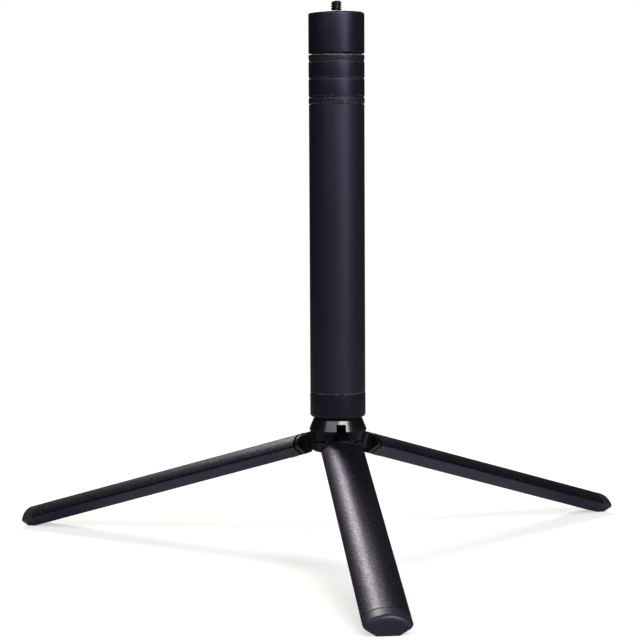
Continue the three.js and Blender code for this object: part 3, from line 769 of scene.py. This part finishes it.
def foot_cap():
    """moulded cap: the arc rolls over into the end face, the flat sides only break their edge"""
    small = 0.45
    stations = [S_LEG1 + GAP, S_LEG1 + GAP + 0.05, S_LEG1 + GAP + 0.2]
    stations += [S_LEG1 + GAP + 0.2 + (S_FOOT - FOOT_ROUND - S_LEG1 - GAP - 0.2) * k / 4 for k in range(1, 5)]
    stations += [S_FOOT - FOOT_ROUND + FOOT_ROUND * math.sin(pi / 2 * k / 14) for k in range(1, 15)]
    loops = []
    for s in stations:
        e = 0.0
        if s > S_FOOT - small:
            e = small - math.sqrt(max(0.0, small ** 2 - (s - (S_FOOT - small)) ** 2))
        if s < S_LEG1 + GAP + 0.2:
            e = 0.2 - math.sqrt(max(0.0, 0.04 - (S_LEG1 + GAP + 0.2 - s) ** 2))
        r = LEG_R - e
        if s > S_FOOT - FOOT_ROUND:
            r = LEG_R - FOOT_ROUND + math.sqrt(max(0.0, FOOT_ROUND ** 2 - (s - (S_FOOT - FOOT_ROUND)) ** 2))
        loops.append(leg_loop(section(e, arc_r=r), s))
    ob = skin("foot", loops)
    ground = prism("ground", [(-60, -260), (60, -260), (60, 0), (-60, 0)], -40, 0, lambda x, y, d: (x, y, d))
    ground.data.transform(LEG_INV)
    boolean(ob, ground)
    plug = skin("plug", [leg_loop(section(LEG_WALL + GAP), S_LEG1 - 9), leg_loop(section(LEG_WALL + GAP), S_LEG1 + 1.5)])
    boolean(ob, plug, "UNION")
    return shade(tidy(ob), 40, True)


def knuckle():
    """hinge casting: a flange against the leg, a lug with its eye, and the plug inside the leg"""
    q = 0.32
    loops = []
    for k in range(5):
        g = q * (1 - math.sin(pi / 2 * k / 4))
        loops.append(leg_loop(section(g), FLANGE_S + q * (1 - math.cos(pi / 2 * k / 4))))
    for k in range(5):
        g = q * (1 - math.cos(pi / 2 * k / 4))
        loops.append(leg_loop(section(g), FLANGE_END - q + q * math.sin(pi / 2 * k / 4)))
    body = skin("knuckle", loops)
    # shoulders run from the lug into the flange
    pts = [(13.2, LUG_HALF - 0.05), (14.6, LUG_HALF + 0.2), (15.8, LUG_HALF + 0.7), (16.8, LUG_HALF + 1.5), (17.8, LUG_HALF + 2.8), (18.6, LUG_HALF + 3.1)]
    pts = smooth_line(pts, 4)
    sh = prism("shoulder", pts + [(x, -y) for x, y in reversed(pts)], RIDGE_N + 2.2, RIDGE_N + 11.2, lambda x, y, d: (x, y, d))
    bevelled(sh, 0.3, 3, 50)
    boolean(sh, skin("clip", [leg_loop(section(0.3), 5), leg_loop(section(0.3), 30)]), "INTERSECT")
    boolean(body, sh, "UNION")
    top = PIVOT_R + LUG_EYE
    out = [(16.5, top - 0.1), (PIVOT_S, top)]
    for i in range(1, 40):
        a = pi / 2 + pi * i / 40
        out.append((PIVOT_S + LUG_EYE * math.cos(a), PIVOT_R + LUG_EYE * math.sin(a)))
    out += [(PIVOT_S, PIVOT_R - LUG_EYE), (15.5, RIDGE_N + 1.2), (19.2, RIDGE_N + 1.2), (19.2, top - 0.2)]
    lug = prism("lug", out, -LUG_HALF, LUG_HALF, lambda x, y, d: (x, d, y))
    bevelled(lug, 0.35, 3, 50)
    boolean(lug, skin("clip", [leg_loop(section(0.05), 0), leg_loop(section(0.05), 30)]), "INTERSECT")
    boolean(body, lug, "UNION")
    boolean(body, cyl("cut", PIN_R + GAP, (PIVOT_S, -20, PIVOT_R), (PIVOT_S, 20, PIVOT_R), 40))
    neck = skin("neck", [leg_loop(section(NECK_INSET), FLANGE_END - 1.0), leg_loop(section(NECK_INSET), S_LEG0 - GAP)])
    boolean(body, neck, "UNION")
    plug = skin("plug", [leg_loop(section(LEG_WALL + GAP), S_LEG0 - 1), leg_loop(section(LEG_WALL + GAP), S_LEG0 + 13)])
    boolean(body, plug, "UNION")
    s = S_LEG0 + 6.5
    boolean(body, cyl("cut", 1.55, (s, 0, RIDGE_N - 1), (s, 0, RIDGE_N + 7), 32))
    return shade(tidy(body), 40, True)


def leg_screw():
    s = S_LEG0 + 6.5
    zb = RIDGE_N - 0.2
    ob = lathe("screw", rounded([
        (0, zb, 0), (2.5, zb, 0.25), (2.5, RIDGE_N + 0.1, 0), (1.25, RIDGE_N + 0.7, 0), (1.25, RIDGE_N + 6.2, 0.2), (0, RIDGE_N + 6.2, 0)], 4), 64)
    for x, y in ((1.5, 0.3), (0.3, 1.5)):
        boolean(ob, prism("cut", [(-x, -y), (x, -y), (x, y), (-x, y)], zb - 1, RIDGE_N + 0.35, lambda a, b, d: (a, b, d)))
    ob.data.transform(Matrix.Translation((s, 0, 0)))
    bevelled(tidy(ob), 0.05, 2, 40)
    return shade(ob, 40, True)


def leg_zones(ob):
    """"flat": 0 on the arc, 1 on the flat sides and the ridge, which the leg finish tints bluer as a painted cool cast;
    "corner": 1 on the rounding between them, which the leg finish darkens as painted shade
    """
    chord, half = LEG_R * math.cos(LEG_HALF), LEG_R * math.sin(LEG_HALF)
    ln = math.hypot(half - RIDGE_HALF, LEG_SIDE)
    nx, ny = -LEG_SIDE / ln, (half - RIDGE_HALF) / ln
    flat, corner = [], []
    for v in ob.data.vertices:
        t, n = abs(v.co.y), v.co.z
        h = math.hypot(t, n)
        flat.append(min(1.0, max(0.0, (16.58 - h) / 0.1)))
        off = (t - RIDGE_HALF) * nx + (n - (chord - LEG_SIDE)) * ny
        corner.append(1.0 if h < 16.57 and off > 0.02 and t > 11.0 else 0.0)
    for name, values in (("flat", flat), ("corner", corner)):
        ob.data.attributes.new(name, "FLOAT", "POINT").data.foreach_set("value", values)


KN, LG, FT, SC = knuckle(), leg_extrusion(), foot_cap(), leg_screw()
for side, ang in SIDES:
    mat = leg_matrix(ang)
    for src, nm, node, slot_name, fin in (
        (KN, "knuckle_casting_", "knuckle_", "gloss_black", M_KNUCKLE),
        (LG, "leg_profile_", "leg_", "textured_alu", M_LEG),
        (FT, "foot_cap_body_", "foot_cap_", "foot_plastic", M_FOOT),
        (SC, "leg_screw_head_", "leg_screw_", "black_steel", M_BLACK_STEEL),
    ):
        ob = bpy.data.objects.new(nm + side, src.data.copy())
        scene.collection.objects.link(ob)
        if src is LG:
            leg_zones(ob)
        place(ob, mat, side + "_leg", [node + side], fin)
for src in (KN, LG, FT, SC):
    drop(src)

# ---------------------------------------------------------------------------
# camera
# ---------------------------------------------------------------------------
PHI = rad(6.4916)                      # the front leg points this far to the right of the camera
YAW, PITCH, ROLL = rad(-0.5141), rad(4.8139), rad(-0.2792)
DIST, CAM_Z = 1.12760, 0.22910
fwd = Vector((math.sin(YAW), math.cos(YAW), 0))
right = Vector((math.cos(YAW), -math.sin(YAW), 0))
up = Vector((0, 0, 1))
f2 = math.cos(PITCH) * fwd - math.sin(PITCH) * up
u2 = math.sin(PITCH) * fwd + math.cos(PITCH) * up
r3 = math.cos(ROLL) * right + math.sin(ROLL) * u2
u3 = -math.sin(ROLL) * right + math.cos(ROLL) * u2
AROUND = Matrix.Rotation(-PHI, 4, "Z")
cam_data = bpy.data.cameras.new("camera")
cam_data.sensor_width = 36.0
cam_data.lens = 1963.18 * 36.0 / 640.0
cam_data.clip_start, cam_data.clip_end = 0.01, 50
cam = bpy.data.objects.new("camera", cam_data)
scene.collection.objects.link(cam)
place_cam = STAND @ AROUND @ Matrix((
    (r3.x, u3.x, -f2.x, 0), (r3.y, u3.y, -f2.y, -DIST), (r3.z, u3.z, -f2.z, CAM_Z), (0, 0, 0, 1)))
cam.matrix_world = place_cam
scene.camera = cam

# ---------------------------------------------------------------------------
# floor and light
# ---------------------------------------------------------------------------
FLOOR_R = 2.2
floor = lathe("floor", [(0, 0.0), (200, 0.0), (500, 0.0), (900, 0.0), (1400, 0.0), (FLOOR_R * 1000, 0.0)][::1], 96)
bm = bmesh.new()
bm.from_mesh(floor.data)
for v in bm.verts:
    v.co *= MM
for fc in bm.faces:
    if fc.normal.z < 0:
        fc.normal_flip()
bm.to_mesh(floor.data)
bm.free()
floor.location = (0, AXIS_Y, -0.0001)
fm = bpy.data.materials.new("floor_paper")
fm.use_nodes = True
nt = fm.node_tree
fb = nt.nodes["Principled BSDF"]
fb.inputs["Roughness"].default_value = 0.9
fb.inputs["Specular IOR Level"].default_value = 0.1
tc = nt.nodes.new("ShaderNodeTexCoord")
no = nt.nodes.new("ShaderNodeTexNoise")
no.inputs["Scale"].default_value = 600
nt.links.new(tc.outputs["Object"], no.inputs["Vector"])
mr = nt.nodes.new("ShaderNodeMapRange")
mr.inputs["To Min"].default_value, mr.inputs["To Max"].default_value = 0.93, 0.96
nt.links.new(no.outputs["Fac"], mr.inputs["Value"])
nt.links.new(mr.outputs["Result"], fb.inputs["Base Color"])
ln = nt.nodes.new("ShaderNodeVectorMath")
ln.operation = "LENGTH"
nt.links.new(tc.outputs["Object"], ln.inputs[0])
fade = nt.nodes.new("ShaderNodeMapRange")
fade.interpolation_type = "SMOOTHSTEP"
fade.inputs["From Min"].default_value, fade.inputs["From Max"].default_value = 0.22, 0.85
fade.inputs["To Min"].default_value, fade.inputs["To Max"].default_value = 0.42, 0.0
nt.links.new(ln.outputs["Value"], fade.inputs["Value"])
nt.links.new(fade.outputs["Result"], fb.inputs["Alpha"])
floor.data.materials.append(fm)

world = bpy.data.worlds.new("studio")
scene.world = world
world.use_nodes = True
wt = world.node_tree
bg = wt.nodes["Background"]
bg.inputs["Color"].default_value = (0.80, 0.80, 0.84, 1)
bg.inputs["Strength"].default_value = 0.035
white = wt.nodes.new("ShaderNodeBackground")
white.inputs["Color"].default_value = (1, 1, 1, 1)
white.inputs["Strength"].default_value = 1.0
lp = wt.nodes.new("ShaderNodeLightPath")
mx = wt.nodes.new("ShaderNodeMixShader")
wt.links.new(lp.outputs["Is Camera Ray"], mx.inputs[0])
wt.links.new(bg.outputs[0], mx.inputs[1])
wt.links.new(white.outputs[0], mx.inputs[2])
wt.links.new(mx.outputs[0], wt.nodes["World Output"].inputs["Surface"])

AIM = Vector((0, 0, 0.15))


def softbox(name, azimuth, elevation, distance, width, height, radiance, tint=(1, 1, 1), aim=AIM):
    """azimuth from the camera's side of the object, to the right"""
    a, e = rad(azimuth), rad(elevation)
    d = Vector((math.sin(a) * math.cos(e), -math.cos(a) * math.cos(e), math.sin(e)))
    li = bpy.data.lights.new(name, "AREA")
    li.shape, li.size, li.size_y = "RECTANGLE", width, height
    li.energy = radiance * pi * width * height
    li.color = tint
    ob = bpy.data.objects.new(name, li)
    scene.collection.objects.link(ob)
    m = d.to_track_quat("Z", "Y").to_matrix().to_4x4()
    m.translation = aim + d * distance
    ob.matrix_world = STAND @ AROUND @ m
    ob.visible_camera = False
    return ob


softbox("key", 27, 36, 1.3, 0.90, 0.50, 14.5)
softbox("front", 36, 9, 1.3, 0.50, 0.40, 4.2)
softbox("fill", -34, 36, 1.3, 1.00, 0.50, 3.2)
softbox("top_back", 194, 43, 0.95, 0.40, 0.36, 24.0, (1.000, 0.937, 0.824))

scene.view_settings.view_transform = "Standard"
scene.view_settings.look = "None"
scene.view_settings.exposure = 0.0
scene.view_settings.gamma = 1.0
